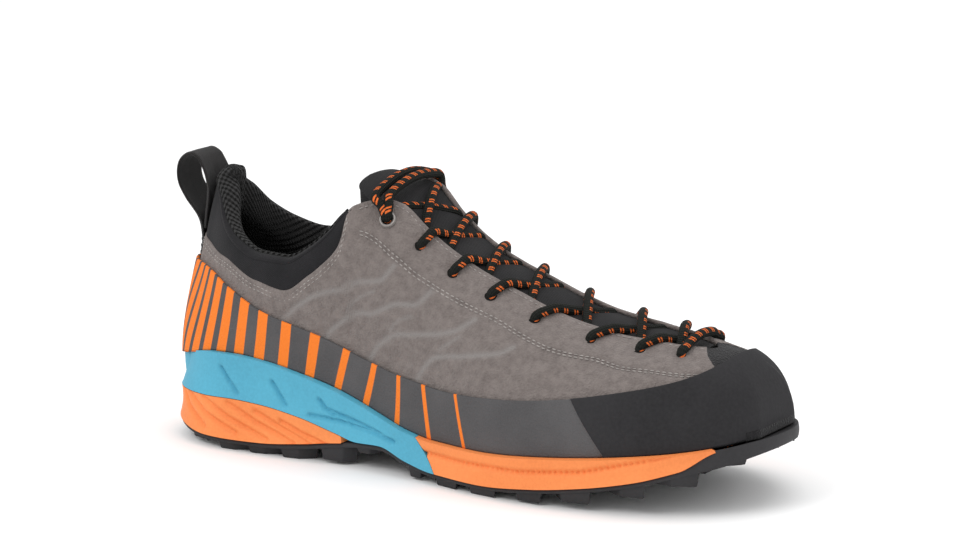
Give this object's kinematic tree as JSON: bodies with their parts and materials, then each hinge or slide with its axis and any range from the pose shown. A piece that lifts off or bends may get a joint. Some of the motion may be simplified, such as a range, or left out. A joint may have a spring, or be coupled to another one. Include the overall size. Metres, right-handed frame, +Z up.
{
  "type": "approach shoe",
  "caption": "Low approach shoe for the right foot, laced down to the toe, with a hollow suede upper, rubber rand and toe cap, foam midsole and lugged outsole.",
  "frame": {"origin": "flat tread under the middle of the heel, 58 mm ahead of the back of the sole, on the ground", "axes": "+X to the toe, +Y to the inner (medial) side, +Z up"},
  "size_m": [0.2942, 0.1045, 0.1264],
  "materials": {
    "suede": "warm grey suede, fine nap",
    "softshell": "stretch softshell with a knitted mesh lining",
    "webbing": "flat woven webbing",
    "rand_rubber": "thin rubber with a fine grain",
    "cap_rubber": "smooth satin rubber",
    "foam_blue": "moulded foam, matt",
    "foam_orange": "moulded foam, matt",
    "tread_rubber": "tread rubber, matt",
    "insole_foam": "foam with a knitted cover",
    "lace": "round braided cord with flecks",
    "metal": "satin ring"
  },
  "bodies": {
    "root": {"outsole": "tread_rubber", "heel_wedge": "foam_orange", "midsole_heel": "foam_blue", "midsole_fore": "foam_orange", "upper": "suede", "collar": "softshell", "side_rand": "rand_rubber", "toe_cap": "cap_rubber", "insole": "insole_foam", "tongue": "softshell", "pull_loop": "webbing", "eyelet_lateral": "metal", "eyelet_medial": "metal", "lace_crossing_1": "lace", "lace_crossing_2": "lace", "lace_crossing_3": "lace", "lace_crossing_4": "lace", "lace_crossing_5": "lace", "lace_crossing_6": "lace", "lace_crossing_7": "lace", "lace_toe_bar": "lace", "lace_top_1": "lace", "lace_top_2": "lace"}
  },
  "joints": []
}
